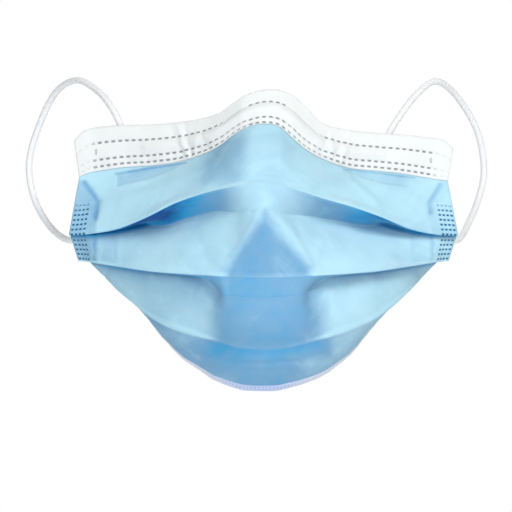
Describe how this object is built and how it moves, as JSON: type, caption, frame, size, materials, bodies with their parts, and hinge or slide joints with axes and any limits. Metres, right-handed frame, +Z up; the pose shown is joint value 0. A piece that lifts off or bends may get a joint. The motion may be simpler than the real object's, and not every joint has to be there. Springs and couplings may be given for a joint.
{
  "type": "three-ply face mask",
  "caption": "Pleated disposable face mask with a blue outer ply, white band and lining, hidden nose wire and round elastic ear loops, in its worn form.",
  "frame": {"origin": "where the mask sits on the nose bridge: centre of the mask's width, just behind the band's back face", "axes": "+X to the right as seen from the front (the wearer's left), +Y from the mask into the face, +Z up"},
  "size_m": [0.1901, 0.0909, 0.1266],
  "materials": {
    "outer_ply": "matte spunbond polypropylene",
    "inner_ply": "matte spunbond polypropylene",
    "nose_wire": "plastic-coated flat wire",
    "ear_loop": "knitted elastic"
  },
  "bodies": {
    "root": {"outer_ply": "outer_ply", "inner_ply": "inner_ply", "nose_wire": "nose_wire", "ear_loop_left": "ear_loop", "ear_loop_right": "ear_loop"}
  },
  "joints": []
}
